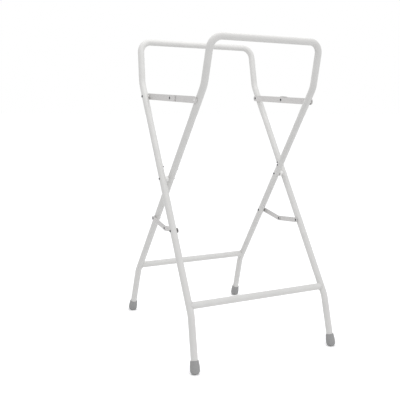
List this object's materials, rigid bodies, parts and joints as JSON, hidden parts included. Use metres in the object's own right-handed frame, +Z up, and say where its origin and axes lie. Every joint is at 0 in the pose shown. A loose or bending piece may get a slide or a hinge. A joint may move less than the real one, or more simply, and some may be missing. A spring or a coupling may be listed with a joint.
{
  "type": "folding baby bath stand",
  "caption": "Folding X-shaped stand of bent round tube for a baby bath, with crossed U frames, jointed flat stays and links, crossbars and rubber foot caps.",
  "frame": {"origin": "on the floor under the middle of the open stand", "axes": "+X to the right along the top bars, +Y from the inner frame's top bar towards the outer frame's top bar, +Z up"},
  "size_m": [0.5418, 0.6362, 1.011],
  "materials": {
    "frame_paint": "satin powder coat",
    "strip_paint": "satin powder coat",
    "foot_rubber": "matt",
    "spacer_plastic": "matt",
    "rivet_dark": "blackened steel",
    "rivet_light": "plain"
  },
  "bodies": {
    "outer_frame_body": {"outer_frame": "frame_paint", "outer_crossbar": "frame_paint", "outer_foot_right": "foot_rubber", "outer_foot_left": "foot_rubber", "pivot_rivet_right": "rivet_dark", "pivot_rivet_left": "rivet_dark", "pivot_spacer_right": "spacer_plastic", "pivot_spacer_left": "spacer_plastic", "outer_stay_leg_rivet_right": "rivet_dark", "outer_stay_leg_rivet_left": "rivet_dark", "outer_stay_collar_right": "spacer_plastic", "outer_stay_collar_left": "spacer_plastic", "outer_link_leg_rivet_right": "rivet_dark", "outer_link_leg_rivet_left": "rivet_dark", "outer_link_collar_right": "rivet_dark", "outer_link_collar_left": "rivet_dark", "outer_small_rivet_right": "rivet_dark", "outer_small_rivet_left": "rivet_dark"},
    "inner_frame_body": {"inner_frame": "frame_paint", "inner_crossbar": "frame_paint", "inner_foot_right": "foot_rubber", "inner_foot_left": "foot_rubber", "inner_stay_leg_rivet_right": "rivet_light", "inner_stay_leg_rivet_left": "rivet_light", "inner_stay_collar_right": "spacer_plastic", "inner_stay_collar_left": "spacer_plastic", "inner_link_leg_rivet_right": "rivet_dark", "inner_link_leg_rivet_left": "rivet_dark", "inner_link_collar_right": "rivet_dark", "inner_link_collar_left": "rivet_dark", "inner_small_rivet_right": "rivet_dark", "inner_small_rivet_left": "rivet_dark"},
    "outer_stay_right_body": {"outer_stay_right": "strip_paint", "outer_stay_mid_rivet_right": "rivet_dark"},
    "inner_stay_right_body": {"inner_stay_right": "strip_paint", "inner_stay_mid_rivet_right": "rivet_dark"},
    "outer_link_right_body": {"outer_link_right": "strip_paint", "outer_link_mid_rivet_right": "rivet_dark"},
    "inner_link_right_body": {"inner_link_right": "strip_paint", "inner_link_mid_rivet_right": "rivet_dark"},
    "outer_stay_left_body": {"outer_stay_left": "strip_paint", "outer_stay_mid_rivet_left": "rivet_dark"},
    "inner_stay_left_body": {"inner_stay_left": "strip_paint", "inner_stay_mid_rivet_left": "rivet_dark"},
    "outer_link_left_body": {"outer_link_left": "strip_paint", "outer_link_mid_rivet_left": "rivet_dark"},
    "inner_link_left_body": {"inner_link_left": "strip_paint", "inner_link_mid_rivet_left": "rivet_dark"}
  },
  "joints": [
    {"name": "fold", "type": "hinge", "parent": "outer_frame_body", "child": "inner_frame_body", "pos_m": [0, 0, 0.55], "axis": [-1, 0, 0], "range_deg": [0, 50]},
    {"name": "outer_stay_right_turn", "type": "hinge", "parent": "outer_frame_body", "child": "outer_stay_right_body", "pos_m": [0.21518, 0.17806, 0.813], "axis": [-1, 0, 0], "range_deg": [0, 99.11]},
    {"name": "inner_stay_right_turn", "type": "hinge", "parent": "inner_frame_body", "child": "inner_stay_right_body", "pos_m": [0.21518, -0.17806, 0.813], "axis": [1, 0, 0], "range_deg": [0, 99.11]},
    {"name": "outer_link_right_turn", "type": "hinge", "parent": "outer_frame_body", "child": "outer_link_right_body", "pos_m": [0.22825, -0.10359, 0.397], "axis": [-1, 0, 0], "range_deg": [0, 91.83]},
    {"name": "inner_link_right_turn", "type": "hinge", "parent": "inner_frame_body", "child": "inner_link_right_body", "pos_m": [0.22825, 0.10359, 0.397], "axis": [1, 0, 0], "range_deg": [0, 91.83]},
    {"name": "outer_stay_left_turn", "type": "hinge", "parent": "outer_frame_body", "child": "outer_stay_left_body", "pos_m": [-0.21518, 0.17806, 0.813], "axis": [-1, 0, 0], "range_deg": [0, 99.11]},
    {"name": "inner_stay_left_turn", "type": "hinge", "parent": "inner_frame_body", "child": "inner_stay_left_body", "pos_m": [-0.21518, -0.17806, 0.813], "axis": [1, 0, 0], "range_deg": [0, 99.11]},
    {"name": "outer_link_left_turn", "type": "hinge", "parent": "outer_frame_body", "child": "outer_link_left_body", "pos_m": [-0.22825, -0.10359, 0.397], "axis": [-1, 0, 0], "range_deg": [0, 91.83]},
    {"name": "inner_link_left_turn", "type": "hinge", "parent": "inner_frame_body", "child": "inner_link_left_body", "pos_m": [-0.22825, 0.10359, 0.397], "axis": [1, 0, 0], "range_deg": [0, 91.83]}
  ],
  "couplings": [
    {"joint": "outer_stay_right_turn", "follows": "fold", "ratio": 1.9723},
    {"joint": "inner_stay_right_turn", "follows": "fold", "ratio": 1.9723},
    {"joint": "outer_link_right_turn", "follows": "fold", "ratio": 1.8266},
    {"joint": "inner_link_right_turn", "follows": "fold", "ratio": 1.8266},
    {"joint": "outer_stay_left_turn", "follows": "fold", "ratio": 1.9723},
    {"joint": "inner_stay_left_turn", "follows": "fold", "ratio": 1.9723},
    {"joint": "outer_link_left_turn", "follows": "fold", "ratio": 1.8266},
    {"joint": "inner_link_left_turn", "follows": "fold", "ratio": 1.8266}
  ]
}
